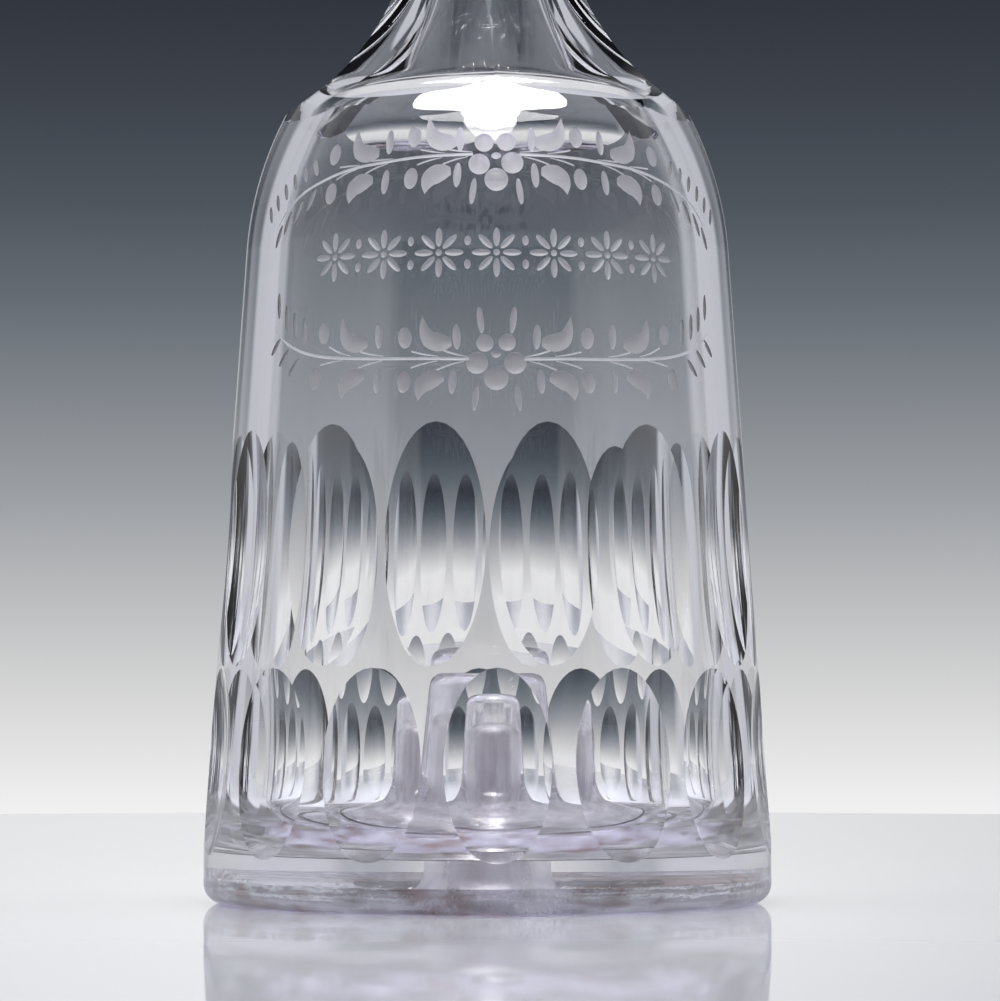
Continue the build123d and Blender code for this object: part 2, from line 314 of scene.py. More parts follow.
# Cuts: every one is the hollow that a wheel with a crowned rim leaves in the wall
cuts = {
    "ovals": 14,
    "crown": 26.5,
    "lower": {"height": glass["bandHeight"] + 11.0, "depth": 1.5, "wheel": 51.3},
    "upper": {"height": glass["bandHeight"] + 38.8, "depth": 1.4, "wheel": 84.7},
    # hand-cut ovals stand a little off their even places, in degrees, from the one behind round to it again
    "upperLean": (0.6, -0.5, 0.8, -0.7, -2.6, 0.9, -0.2, -1.9, -3.9, -2.0, 0.5, -0.6, 0.4, -0.3),
    "lowerLean": (0.0, 0.5, -0.4, 0.6, -0.3, 0.1, 0.0, 0.0, 0.3, -0.4, 0.5, -0.6, 0.4, -0.3),
    "flutes": 6,
    "fluteDepth": 0.5,
    "fluteWheel": 33.0,
    "fluteCrown": -110.0,  # a hollow rim, so that the flutes end nearly square
    "fluteFoot": (96.0, 108.0),  # the flutes end between these heights
    "longest": 22.0,  # no oval reaches further from its middle
    # the flat layout: millimetres across for one radian, spacing of the points and the least gaps between them
    "spread": 34.0,
    "lattice": 0.85,
    "leastGap": 0.4,
    "seamGap": 0.12,
    # an edge is searched for by halving, and a ray's meeting with a wheel by rounds that close in on it
    "halvings": 40,
    "rounds": 12,
}


def ovalWheel(row, turn):
    reach = row["wheel"] - row["depth"]
    return {
        "turn": turn,
        "across": float(wallAt(row["height"])) + reach * cos(wallTilt),
        "up": row["height"] + reach * sin(wallTilt),
        "rim": row["wheel"],
        "crown": cuts["crown"],
        "middle": row["height"],
    }


def fluteWheel(turn):
    return {
        "turn": turn,
        "across": glass["waistRadius"] - cuts["fluteDepth"] + cuts["fluteWheel"],
        "up": waistHeight,
        "rim": cuts["fluteWheel"],
        "crown": cuts["fluteCrown"],
    }


def cutAt(turn, height, wheel):  # radius of the wheel's hollow along a ray from the bottle's axis
    off = (np.asarray(turn, float) - wheel["turn"] + pi) % (2 * pi) - pi
    radius = np.full(off.shape, wheel["across"] - wheel["rim"])
    crown = wheel["crown"]
    for _ in range(cuts["rounds"]):
        aside = np.clip(radius * np.sin(off), 1 - abs(crown), abs(crown) - 1)
        rim = wheel["rim"] - crown + np.sign(crown) * np.sqrt(crown**2 - aside**2)
        reach = np.sqrt(np.maximum(rim**2 - (height - wheel["up"]) ** 2, 0))
        radius = (wheel["across"] - reach) / np.cos(off)
    return radius


def ovalEdge(wheel, points=72):  # (turn, height) all the way round, from the top
    angles = np.arange(points) * 2 * pi / points
    across, up = np.sin(angles) / cuts["spread"], np.cos(angles)
    near, far = np.zeros(points), np.full(points, cuts["longest"])
    for _ in range(cuts["halvings"]):
        middle = (near + far) / 2
        turns, heights = wheel["turn"] + across * middle, wheel["middle"] + up * middle
        inside = cutAt(turns, heights, wheel) < wallAt(heights)
        near, far = np.where(inside, middle, near), np.where(inside, far, middle)
    return [(float(t), float(z)) for t, z in zip(wheel["turn"] + across * near, wheel["middle"] + up * near)]


def fluteEdge(wheel, points=90):  # up one side and down the other
    whole, foot = cuts["fluteFoot"]
    for _ in range(cuts["halvings"]):
        middle = (whole + foot) / 2
        cutting = cutAt(wheel["turn"], middle, wheel) < wallAt(middle)
        whole, foot = (whole, middle) if cutting else (middle, foot)
    shares = (np.arange(points + 1) / points) ** 2
    heights = foot + (cutsTo - foot) * shares
    near, far = np.zeros(points + 1), np.full(points + 1, pi / cuts["flutes"])
    meeting = cutAt(wheel["turn"] + far, heights, wheel) < wallAt(heights)
    for _ in range(cuts["halvings"]):
        middle = (near + far) / 2
        inside = cutAt(wheel["turn"] + middle, heights, wheel) < wallAt(heights)
        near, far = np.where(inside, middle, near), np.where(inside, far, middle)
    half = np.where(meeting, pi / cuts["flutes"], near)
    half[0] = 0
    right = [(wheel["turn"] + float(h), float(z)) for h, z in zip(half, heights)]
    left = [(wheel["turn"] - float(h), float(z)) for h, z in zip(half, heights)]
    return right + left[:0:-1]


# Engraving: each mark is a shallow matt groove, given by a spine and its half widths in millimetres
engraving = {
    "depth": 0.16,
    "berryDepth": 0.3,
    "lineDepth": 0.07,
    "stemHalfWidth": 0.19,
    "finest": 0.02,  # a groove ends in a point below this half width
    "inside": (-0.55, 0, 0.55),  # points across a groove, as shares of its half width
    "eyeWidening": 1.4,
    # half height, half width and lean away from the flower
    "lenses": {
        "oval": (1.38, 0.9, 0.08),
        "narrow": (1.6, 0.52, 0.05),
        "blade": (1.7, 0.42, 0.12),
        "barb": (1.25, 0.42, 0.5),
        "sprig": (1.6, 0.42, 0.42),
        "slant": (1.45, 0.4, 0.75),
    },
    # spine from the rounded foot to the tip, and the half widths along it
    "leaves": {
        "curl": (
            [(-2.0, -0.7), (-1.2, -0.78), (-0.2, -0.75), (0.75, -0.35), (1.35, 0.5), (1.62, 1.5), (1.8, 2.6)],
            [0.55, 0.98, 1.18, 1.12, 0.78, 0.46, 0.0],
        ),
        "bean": (
            [(-1.8, -0.8), (-1.0, -0.75), (0.0, -0.5), (0.85, 0.1), (1.3, 1.0), (1.45, 2.1)],
            [0.5, 1.0, 1.25, 1.15, 0.7, 0.0],
        ),
    },
}


def groove(turn, height, spine, halfWidths, depth, steps=10):
    # gives the outline and the points inside it, each as (turn, height, depth)
    spine = [Vector(p) for p in spine]
    padded = [2 * spine[0] - spine[1], *spine, 2 * spine[-1] - spine[-2]]
    widest = max(halfWidths)
    rows = []
    for i in range(steps + 1):
        at = i / steps * (len(spine) - 1)
        k = min(int(at), len(spine) - 2)
        s = at - k
        a, b, c, d = padded[k : k + 4]
        point = ((2 * b) + (c - a) * s + (2 * a - 5 * b + 4 * c - d) * s**2 + (3 * b - a - 3 * c + d) * s**3) / 2
        along = (c - a) + (4 * a - 10 * b + 8 * c - 2 * d) * s + (9 * b - 3 * a - 9 * c + 3 * d) * s**2
        half = float(np.interp(i / steps, np.linspace(0, 1, len(halfWidths)), halfWidths))
        side = Vector((-along.y, along.x)).normalized()
        rows.append((point, side * half, half))
    left, right, inside = [], [], []
    for point, side, half in rows:
        radius = float(wallAt(height + point.y))

        def placed(share):
            p = point + side * share
            sunk = depth * (1 - share**2) * (half / widest) ** 0.5
            return (turn + p.x / radius, height + p.y, sunk)

        if half < engraving["finest"]:
            left.append(placed(0)[:2] + (0.0,))
            continue
        left.append(placed(1)[:2] + (0.0,))
        right.append(placed(-1)[:2] + (0.0,))
        inside += [placed(share) for share in engraving["inside"]]
    return left + right[::-1], inside


def roundMark(turn, height, x, y, halfHeight, halfWidth, depth, steps=12, lean=0.0):
    angles = [pi * i / steps for i in range(steps + 1)]
    way = Vector((sin(lean), cos(lean)))
    spine = [Vector((x, y)) - way * halfHeight * cos(a) for a in angles]
    return groove(turn, height, spine, [halfWidth * sin(a) for a in angles], depth, steps)


def leafMark(turn, height, away, up, kind):
    # away is 1 to the right of the flower and -1 to its left, up is 1 above the stem and -1 below it
    depth = engraving["depth"]
    if kind in engraving["lenses"]:
        tall, wide, lean = engraving["lenses"][kind]
        return roundMark(turn, height, 0, 0, tall, wide, depth, lean=lean * away * up)
    spine, halves = engraving["leaves"][kind]
    return groove(turn, height, [(x * away, y * up) for x, y in spine], halves, depth, 16)


# Garlands of leaves and berries: turns are degrees from the middle, heights are millimetres
upperGarland = {
    "berries": [(-1.5, 97.0, 1.2), (1.3, 97.1, 1.2), (-2.15, 94.2, 1.36), (2.05, 94.4, 1.42), (0, 92.2, 1.5)],
    "eye": (0, 95.3, 0.45),
    "stem": [
        (5.5, 95.5), (13.0, 95.4), (20.0, 95.2), (27.0, 94.8), (34.0, 94.4),
        (40.0, 93.8), (46.0, 92.9), (51.5, 91.9), (56.0, 90.7), (60.0, 89.1), (63.5, 87.2),
    ],
    "above": [
        ("narrow", 8.7, 97.5), ("curl", 13.3, 97.9), ("oval", 20.2, 98.0), ("narrow", 26.6, 97.4),
        ("curl", 33.0, 96.8), ("oval", 42.3, 96.3), ("barb", 48.2, 94.9), ("barb", 51.8, 94.2),
        ("barb", 55.2, 93.3), ("barb", 58.5, 92.2), ("barb", 61.6, 90.9), ("barb", 64.5, 89.5),
    ],
    "below": [
        ("narrow", 9.1, 92.8), ("bean", 14.0, 92.5), ("oval", 20.2, 92.5), ("narrow", 26.6, 92.2),
        ("bean", 33.3, 91.7), ("oval", 41.6, 91.2), ("sprig", 47.9, 90.7), ("sprig", 52.2, 89.4),
        ("sprig", 55.9, 88.0), ("sprig", 59.3, 86.4), ("blade", 5.4, 90.7),
    ],
}
lowerGarland = {
    "berries": [(-1.5, 71.4, 1.1), (1.3, 71.5, 1.1), (-2.5, 68.9, 1.4), (2.3, 68.9, 1.4), (-0.1, 67.0, 1.55)],
    "eye": (-0.1, 70.0, 0.45),
    "stem": [
        (6.0, 69.4), (14.0, 69.5), (24.0, 69.6), (33.0, 69.8), (41.0, 70.2), (47.5, 71.0), (53.0, 72.3), (57.5, 74.0),
    ],
    "above": [
        ("narrow", 8.8, 72.2), ("curl", 13.4, 72.3), ("oval", 20.4, 72.2), ("narrow", 26.6, 72.5),
        ("curl", 32.9, 72.4), ("oval", 41.2, 73.2), ("blade", 47.2, 73.7), ("blade", 50.6, 74.5),
        ("blade", 53.8, 75.6), ("blade", 57.2, 77.3), ("blade", 3.6, 74.3),
    ],
    "below": [
        ("narrow", 9.6, 66.6), ("bean", 14.6, 66.3), ("oval", 20.4, 66.6), ("narrow", 26.6, 66.9),
        ("bean", 33.0, 66.8), ("oval", 43.2, 67.4), ("slant", 50.2, 69.2), ("slant", 54.0, 70.5),
        ("slant", 57.6, 72.0), ("blade", 4.6, 64.5),
    ],
}


def garland(plan):
    marks, lines = [], []
    for x, height, radius in plan["berries"]:
        marks.append(roundMark(0, height, x, 0, radius, radius, engraving["berryDepth"], 16))
    x, height, radius = plan["eye"]
    marks.append(roundMark(0, height, x, 0, radius, radius * engraving["eyeWidening"], engraving["depth"], 8))
    middle = plan["eye"][1]
    for away in (-1, 1):
        stem = [(turn * away, height) for turn, height in plan["stem"]]
        radius = float(wallAt(middle))
        spine = [(radians(turn) * radius, height - middle) for turn, height in stem]
        halves = [engraving["stemHalfWidth"]] * (len(spine) - 1) + [0.0]
        lines.append(groove(0, middle, spine, halves, engraving["lineDepth"], 40))
        for up, side in ((1, "above"), (-1, "below")):
            for kind, turn, height in plan[side]:
                marks.append(leafMark(radians(turn * away), height, away, up, kind))
                if kind in stalks["leaves"]:
                    lines.append(stalk(plan, turn, height, away, up))
    return marks, lines


# Stalks: fine lines from the larger leaves towards the stem, which they meet nearer the flower
stalks = {
    "leaves": ("oval", "curl", "bean"),
    "root": 7.5,  # degrees from the leaf's middle to both ends, and the least from the stem's start
    "foot": 1.5,
    "least": 0.3,
    "gap": 0.3,  # from the stem
    "drop": 1.75,  # from the leaf's middle to its foot
    "bend": (0.62, 0.38),  # shares of the two ends in the height of the middle
    "halfWidths": [0.04, 0.11, 0.11],
}


def stalk(plan, turn, height, away, up):
    turns = [t for t, z in plan["stem"]]
    root = max(turn - stalks["root"], turns[0] + stalks["least"])
    foot = turn - stalks["foot"]
    radius = float(wallAt(height))
    stemHeight = float(np.interp(root, turns, [z for t, z in plan["stem"]])) + stalks["gap"] * up
    start = (radians(root) * radius * away, stemHeight - height)
    end = (radians(foot) * radius * away, -stalks["drop"] * up)
    middle = ((start[0] + end[0]) / 2, start[1] * stalks["bend"][0] + end[1] * stalks["bend"][1])
    return groove(0, height, [start, middle, end], stalks["halfWidths"], engraving["lineDepth"], 8)


# The band between the garlands: a row of eight-petalled stars with small olives between them
starBand = {
    "count": 7,
    "height": 82.9,
    "span": 91.0,  # degrees
    "petals": 8,
    "petal": (1.95, 1.2, 0.43),  # place from the middle, half length and half width
    "eye": 0.42,
    "olive": (0.62, 0.42),  # half height and half width
    "oliveRise": 1.5,
}


def starRow():
    marks = []
    depth = engraving["depth"]
    pitch = radians(starBand["span"] / starBand["count"])
    reach, petalHalf, petalWidth = starBand["petal"]
    oliveHalf, oliveWidth = starBand["olive"]
    height, eye = starBand["height"], starBand["eye"]
    for i in range(starBand["count"]):
        turn = (i - (starBand["count"] - 1) / 2) * pitch
        marks.append(roundMark(turn, height, 0, 0, eye, eye, depth, 8))
        for k in range(starBand["petals"]):
            lean = 2 * pi * k / starBand["petals"]
            x, y = sin(lean) * reach, cos(lean) * reach
            marks.append(roundMark(turn, height, x, y, petalHalf, petalWidth, depth, lean=lean))
        if i:
            for up in (-1, 1):
                rise = height + starBand["oliveRise"] * up
                marks.append(roundMark(turn - pitch / 2, rise, 0, 0, oliveHalf, oliveWidth, depth))
    return marks


# Places in the bottle's list of materials
skins = {"clear": 0, "leaf": 1, "foot": 2, "hollow": 3, "line": 4, "pushup": 5}


# The cut stretch is laid out flat, turn across and height up, and filled with small triangles.
# An owner above 0 is a wheel's place in the list of wheels, and one below 0 is a mark's skin.
class CutWall:
    def __init__(self):
        self.points, self.edges, self.rings, self.owners = [], [], [], []
        self.depths = {}
        self.wheels = [None]

    def place(self, turn, height):
        self.points.append((turn * cuts["spread"], height))
        return len(self.points) - 1

    def ring(self, outline, owner):  # laid anticlockwise, so that the fill takes its inside
        doubled = sum(a[0] * b[1] - b[0] * a[1] for a, b in zip(outline, outline[1:] + outline[:1]))
        self.rings.append([self.place(turn, height) for turn, height in outline[:: 1 if doubled > 0 else -1]])
        self.owners.append(owner)

    def mark(self, outline, inside, owner):
        self.ring([(turn, height) for turn, height, depth in outline], owner)
        for turn, height, depth in inside:
            self.depths[self.place(turn, height)] = depth

    def cut(self, wheel, outline):
        self.wheels.append(wheel)
        owner = len(self.wheels) - 1
        if max(turn for turn, height in outline) > pi + 0.01:  # an oval across the seam is laid out as two halves
            half = len(outline) // 2
            self.ring([(turn - 2 * pi, height) for turn, height in outline[: half + 1]], owner)
            self.ring(outline[half:] + outline[:1], owner)
        else:
            self.ring(outline, owner)

    def frame(self):
        for height in (cutsFrom, glass["bandHeight"], neckRoot[1], cutsTo):
            row = [self.place(turn, height) for turn in allRound()]
            self.edges += list(zip(row, row[1:]))

    def lattice(self):
        taken = kdtree.KDTree(len(self.points))
        for i, (x, y) in enumerate(self.points):
            taken.insert((x, y, 0), i)
        taken.balance()
        rows = round((cutsTo - cutsFrom) / cuts["lattice"])
        columns = glass["columns"]
        for k in range(1, rows):
            height = cutsFrom + (cutsTo - cutsFrom) * k / rows
            shift = k % 2 / 2
            turns = [-pi, *(2 * pi * (i + shift) / columns - pi for i in range(1, columns)), pi]
            for turn in turns:
                gap = cuts["seamGap"] if abs(turn) == pi else cuts["leastGap"]
                if taken.find((turn * cuts["spread"], height, 0))[2] > gap:
                    self.place(turn, height)

    def triangles(self):
        points = [Vector(p) for p in self.points]
        found = delaunay_2d_cdt(points, self.edges, self.rings, 0, 1e-4)
        places, _, faces, sources, _, owners = found
        depths = [max([self.depths.get(i, 0.0) for i in s], default=0.0) for s in sources]
        turns = np.array([p.x for p in places]) / cuts["spread"]
        heights = np.array([p.y for p in places])
        kept, kinds = [], []
        for face, owner in zip(faces, owners):
            a, b, c = (places[i] for i in face)
            area = (b - a).cross(c - a) / 2
            if abs(area) > 1e-5:
                kept.append(face if area > 0 else face[::-1])
                ours = [self.owners[i] for i in owner]
                kinds.append(min(ours) if min(ours, default=0) < 0 else max(ours, default=0))
        return turns, heights, np.array(depths), np.array(kept), np.array(kinds)


def surfaceAt(turn, height, wheel):
    return wallAt(height) if wheel is None else cutAt(turn, height, wheel)


def pointAt(turn, height, radius):
    return np.stack([radius * np.sin(turn), -radius * np.cos(turn), height], -1)


def allRound():  # the columns' turns, with the seam at both ends
    return np.arange(glass["columns"] + 1) * 2 * pi / glass["columns"] - pi


def cutWallMesh(layout):
    turns, heights, depths, faces, kinds = layout.triangles()
    radii = wallAt(heights) - depths
    for k in range(1, len(layout.wheels)):
        used = np.unique(faces[kinds == k])
        radii[used] = np.minimum(radii[used], cutAt(turns[used], heights[used], layout.wheels[k]))
    points = pointAt(turns, heights, radii)
    normals = np.zeros((len(faces), 3, 3))
    nudge, step = 0.01, 0.002
    faceTurns, faceHeights = turns[faces], heights[faces]
    cornerTurns = faceTurns + (faceTurns.mean(1, keepdims=True) - faceTurns) * nudge
    cornerHeights = faceHeights + (faceHeights.mean(1, keepdims=True) - faceHeights) * nudge
    for k, wheel in enumerate(layout.wheels):
        mine = kinds == k
        t, z = cornerTurns[mine], cornerHeights[mine]
        turned, lifted = t + step / cuts["spread"], z + step
        here = pointAt(t, z, surfaceAt(t, z, wheel))
        across = pointAt(turned, z, surfaceAt(turned, z, wheel)) - here
        up = pointAt(t, lifted, surfaceAt(t, lifted, wheel)) - here
        normals[mine] = np.cross(across, up)
    marked = kinds < 0
    flat = triangleNormals(points, faces[marked])
    gathered = np.zeros((len(points), 3))
    for k in range(3):
        np.add.at(gathered, faces[marked][:, k], flat)
    normals[marked] = gathered[faces[marked]]
    normals /= np.linalg.norm(normals, axis=2, keepdims=True)
    return points, faces, normals, np.where(marked, -kinds, skins["clear"])


def triangleNormals(points, faces):
    corners = points[faces]
    return np.cross(corners[:, 1] - corners[:, 0], corners[:, 2] - corners[:, 0])


class GlassMesh:  # gathers triangles with their corner normals and finishes, then welds what meets
    def __init__(self):
        self.points, self.faces, self.normals, self.finishes, self.count = [], [], [], [], 0

    def add(self, points, faces, normals, finishes):
        self.points.append(points)
        self.faces.append(faces + self.count)
        self.normals.append(normals)
        self.finishes.append(np.broadcast_to(finishes, len(faces)))
        self.count += len(points)

    def grid(self, points, normals, finish):  # rows of points, each row once round the bottle
        rows, across = points.shape[:2]
        k, i = np.meshgrid(np.arange(rows - 1), np.arange(across - 1), indexing="ij")
        a, d = k * across + i, (k + 1) * across + i
        corners = np.stack([a, a + 1, d + 1, a, d + 1, d], -1).reshape(-1, 3)
        self.add(points.reshape(-1, 3), corners, normals.reshape(-1, 3)[corners], finish)

    def turned(self, run, finish):
        run = np.array(run)
        along = np.gradient(run, axis=0)
        facing = np.stack([along[:, 1], -along[:, 0]], -1)
        facing /= np.linalg.norm(facing, axis=1, keepdims=True)
        turns = allRound()[None, :]
        points = pointAt(turns, run[:, 1:] + 0 * turns, run[:, :1])
        self.grid(points, pointAt(turns, facing[:, 1:] + 0 * turns, facing[:, :1]), finish)

    def lipUnderside(self, layout):
        turns = allRound()
        inner = wallAt(cutsTo + 0 * turns)
        for wheel in layout.wheels[-cuts["flutes"] :]:
            near = np.abs((turns - wheel["turn"] + pi) % (2 * pi) - pi) < pi / 4
            inner[near] = np.minimum(inner[near], cutAt(turns[near], cutsTo, wheel))
        radii = np.stack([inner, np.full_like(inner, lipRadius - glass["lipRounding"])])
        points = pointAt(turns[None, :] + 0 * radii, cutsTo + 0 * radii, radii)
        self.grid(points, np.broadcast_to((0.0, 0.0, -1.0), points.shape), skins["clear"])

    def build(self, name, materials):
        points, faces = np.concatenate(self.points), np.concatenate(self.faces)
        normals, finishes = np.concatenate(self.normals), np.concatenate(self.finishes)
        cells = np.round(points / glass["weld"]).astype(int)
        _, first, welded = np.unique(cells, axis=0, return_index=True, return_inverse=True)
        faces = welded.reshape(-1)[faces]
        whole = (faces[:, 0] != faces[:, 1]) & (faces[:, 1] != faces[:, 2]) & (faces[:, 2] != faces[:, 0])
        mesh = bpy.data.meshes.new(name)
        mesh.from_pydata((points[first] * mm).tolist(), [], faces[whole].tolist())
        for material in materials:
            mesh.materials.append(material)
        mesh.polygons.foreach_set("material_index", finishes[whole])
        mesh.polygons.foreach_set("use_smooth", [True] * int(whole.sum()))
        mesh.normals_split_custom_set(normals[whole].reshape(-1, 3).tolist())
        mesh.update()
        piece = bpy.data.objects.new(name, mesh)
        bpy.context.scene.collection.objects.link(piece)
        return piece


def glassBottle(materials):
    layout = CutWall()
    layout.frame()
    pitch = 2 * pi / cuts["ovals"]
    for row, leans, shift in (("upper", cuts["upperLean"], 0.5), ("lower", cuts["lowerLean"], 0)):
        for i in range(cuts["ovals"]):
            turn = (i + shift) * pitch - pi + radians(leans[i])
            turn += 2 * pi if turn < -pi + pitch / 4 else 0  # the one straight behind is laid out past the seam
            wheel = ovalWheel(cuts[row], turn)
            layout.cut(wheel, ovalEdge(wheel))
    upperMarks, upperLines = garland(upperGarland)
    lowerMarks, lowerLines = garland(lowerGarland)
    for outline, inside in upperMarks + lowerMarks + starRow():
        layout.mark(outline, inside, -skins["leaf"])
    for outline, inside in upperLines + lowerLines:
        layout.mark(outline, inside, -skins["line"])
    for i in range(cuts["flutes"]):
        wheel = fluteWheel(2 * pi * (i + 0.5) / cuts["flutes"] - pi)
        layout.cut(wheel, fluteEdge(wheel))
    layout.lattice()
    points, faces, normals, finishes = cutWallMesh(layout)
    mesh = GlassMesh()
    mesh.add(points, faces, normals, finishes)
    print("cut wall:", len(faces), "triangles")
    mesh.turned(hollowRun(), skins["hollow"])
    mesh.turned(baseRun(), skins["foot"])
    mesh.lipUnderside(layout)
    mesh.turned(lipRun(), skins["clear"])
    mesh.turned(insideRun(), skins["clear"])
    mesh.turned(pushupRun(), skins["pushup"])
    return mesh.build("cutGlassBottle", materials)


# Glass
glassLook = {
    "shine": 0.85,
    "ior": 1.53,
    "tint": (0.77, 0.75, 0.80),
    "tintDensity": 9.0,
    "ripple": 0.03,
    "engravedRoughness": 0.6,
    "leafMilk": 0.11,
    # tones at heights in millimetres, painted light and shade: the engraved marks are lightest at the top near the
    # window lamps and darker lower down
    "leafPaintedShade": ((66, 0.68), (84, 0.82), (96, 1.0)),
    "lineMilk": 0.4,
    # painted shade for the fine lines too, a little darker lower down
    "linePaintedShade": ((66, 0.95), (96, 1.0)),
    "hollowRoughness": 0.3,
}


def glassVolume(shop):
    return shop.add(
        "ShaderNodeVolumeAbsorption", {}, {"Color": (*glassLook["tint"], 1), "Density": glassLook["tintDensity"]}
    )


def clearGlass():
    material = bpy.data.materials.new("clearGlass")
    shop = Shop(material)
    ripple = shop.noise(90, 2, (1, 1, 0.35))
    smear = shop.noise(260, 4)
    finish = {
        "Base Color": shop.ramp(smear, [(0.3, (0.97, 0.97, 0.985)), (0.7, (1, 1, 1))]),
        "Roughness": smear * 0.012,
        "IOR": glassLook["ior"],
        "Transmission Weight": 1.0,
        "Normal": shop.bump(ripple, glassLook["ripple"], 0.0004),
    }
    shop.finish(finish, glassVolume(shop))
    return material


def engravedGlass(name, milky, paintedShade):  # milky is the share that scatters light; the last argument gives the painted shade at each height, darker lower down
    material = bpy.data.materials.new(name)
    shop = Shop(material)
    grain = shop.noise(5200, 2)
    cloud = shop.noise(420, 3)
    place = shop.add("ShaderNodeTexCoord", output="Object")
    height = shop.add("ShaderNodeSeparateXYZ", {}, {"Vector": place}, "Z")
    # painted shade: the marks' colour is darkened towards the bottom by height, standing in for less light from the
    # window above
    paintedShadeTones = shop.ramp(height * (1 / high.z), [(z / glass["height"], grey(tone)) for z, tone in paintedShade])
    frost = shop.ramp(grain * 0.5 + cloud * 0.5, [(0.3, (0.76, 0.77, 0.80)), (0.7, (0.92, 0.93, 0.96))])
    finish = {
        "Base Color": shop.multiply(frost, paintedShadeTones),
        "Roughness": glassLook["engravedRoughness"] + (grain - 0.5) * 0.2,
        "IOR": glassLook["ior"],
        "Transmission Weight": 1 - milky,
        "Normal": shop.bump(grain, 0.35, 0.00006),
    }
    shop.finish(finish, glassVolume(shop))
    return material


def scuffedFootPaintedReflection():
    material = bpy.data.materials.new("scuffedFootPaintedReflection")
    shop = Shop(material)
    waves = shop.noise(210, 4)
    lines = shop.noise(900, 2, (0.08, 0.08, 1))
    scuffs = shop.noise(1500, 4)
    # painted reflection: the brown, grey and white streaks in the foot's colour stand in for mottled reflections in
    # the foot band; the scuffs only vary roughness and bumps
    stops = [
        (0.38, (0.40, 0.33, 0.31)),
        (0.46, (0.60, 0.60, 0.63)),
        (0.54, (0.76, 0.78, 0.82)),
        (0.64, (0.95, 0.97, 1.0)),
    ]
    finish = {
        "Base Color": shop.ramp(waves * 0.6 + lines * 0.4, stops),
        "Roughness": 0.05 + scuffs * 0.12,
        "IOR": glassLook["ior"],
        "Transmission Weight": 0.78,
        "Normal": shop.bump(waves + lines * 0.3 + scuffs * 0.1, 0.6, 0.0009),
    }
    shop.finish(finish, glassVolume(shop))
    return material


def pushupSkin():
    material = bpy.data.materials.new("pushupSkin")
    shop = Shop(material)
    streaks = shop.noise(620, 4, (1, 1, 0.1))
    clouds = shop.noise(240, 3)
    tone = shop.ramp(streaks * 0.6 + clouds * 0.4, [(0.38, (0.62, 0.60, 0.64)), (0.6, (0.90, 0.89, 0.92))])
    finish = {
        "Base Color": tone,
        "Roughness": 0.03 + clouds * 0.08,
        "IOR": glassLook["ior"],
        "Transmission Weight": 0.92,
        "Normal": shop.bump(streaks + clouds * 0.5, 0.25, 0.0004),
    }
    shop.finish(finish, glassVolume(shop))
    return material


def pushupHollowPaintedShade():
    material = bpy.data.materials.new("pushupHollowPaintedShade")
    shop = Shop(material)
    streaks = shop.noise(420, 4, (1, 1, 0.12))
    pits = shop.noise(900, 3)
    # painted shade: the hollow under the bottle gets a darker grey colour than the clear glass, streaked at random
    tone = shop.ramp(streaks, [(0.35, (0.60, 0.58, 0.60)), (0.6, (0.84, 0.84, 0.87))])
    finish = {
        "Base Color": tone,
        "Roughness": glassLook["hollowRoughness"] + pits * 0.1,
        "IOR": glassLook["ior"],
        "Transmission Weight": 0.8,
        "Normal": shop.bump(streaks + pits * 0.4, 0.4, 0.0004),
    }
    shop.finish(finish, glassVolume(shop))
    return material


# Closure
def silverPlate():
    material = bpy.data.materials.new("silverPlate")
    shop = Shop(material)
    polish = shop.noise(900, 4, (1, 1, 0.15))
    tarnish = shop.noise(110, 4)
    patina = shop.ramp(tarnish, [(0.45, (0.86, 0.84, 0.80)), (0.75, (0.62, 0.56, 0.47))])
    finish = {
        "Base Color": patina,
        "Metallic": 1.0,
        "Roughness": 0.14 + polish * 0.12 + tarnish * 0.1,
        "Normal": shop.bump(polish, 0.06, 0.0001),
    }
    shop.finish(finish)
    return material


def tinnedMetal():
    material = bpy.data.materials.new("tinnedMetal")
    shop = Shop(material)
    streaks = shop.noise(1400, 4, (1, 1, 0.2))
    finish = {
        "Base Color": shop.ramp(streaks, [(0.3, (0.50, 0.49, 0.47)), (0.7, (0.74, 0.73, 0.70))]),
        "Metallic": 1.0,
        "Roughness": 0.34 + streaks * 0.2,
        "Normal": shop.bump(streaks, 0.2, 0.0001),
    }
    shop.finish(finish)
    return material


def naturalCork():
    material = bpy.data.materials.new("naturalCork")
    shop = Shop(material)
    body = shop.noise(420, 6)
    place = shop.add("ShaderNodeTexCoord", output="Object")
    pits = shop.add("ShaderNodeTexVoronoi", {}, {"Vector": place, "Scale": 620})
    holes = shop.ramp(pits, [(0.12, grey(0)), (0.3, grey(1))])
    colour = shop.ramp(body, [(0.3, (0.36, 0.21, 0.10)), (0.7, (0.70, 0.50, 0.30))])
    finish = {
        "Base Color": shop.mix(holes, (0.16, 0.08, 0.035, 1), colour),
        "Roughness": 0.85 - body * 0.1,
        "Normal": shop.bump(holes, 0.6, 0.0002),
    }
    shop.finish(finish)
    return material


def dress(node, material):
    nodes[node].data.materials.clear()
    nodes[node].data.materials.append(material)


# Stage
table = {"radius": 0.405, "drop": 0.00005, "roughness": 0.035}


def pearlTable():
    material = bpy.data.materials.new("pearlTable")
    shop = Shop(material)
    cloud = shop.noise(9, 2)
    finish = {
        "Base Color": shop.mix(cloud, (0.74, 0.75, 0.81, 1), (0.79, 0.80, 0.84, 1)),
        "Roughness": table["roughness"] + cloud * 0.02,
        "IOR": 1.45,
    }
    shop.finish(finish)
    return material


def makeTable():
    mesh = bpy.data.meshes.new("table")
    count = 128
    turns = [2 * pi * i / count for i in range(count)]
    points = [(table["radius"] * cos(a), table["radius"] * sin(a), -table["drop"]) for a in turns]
    mesh.from_pydata(points, [], [list(range(count))])
    mesh.materials.append(pearlTable())
    piece = bpy.data.objects.new("table", mesh)
    bpy.context.scene.collection.objects.link(piece)


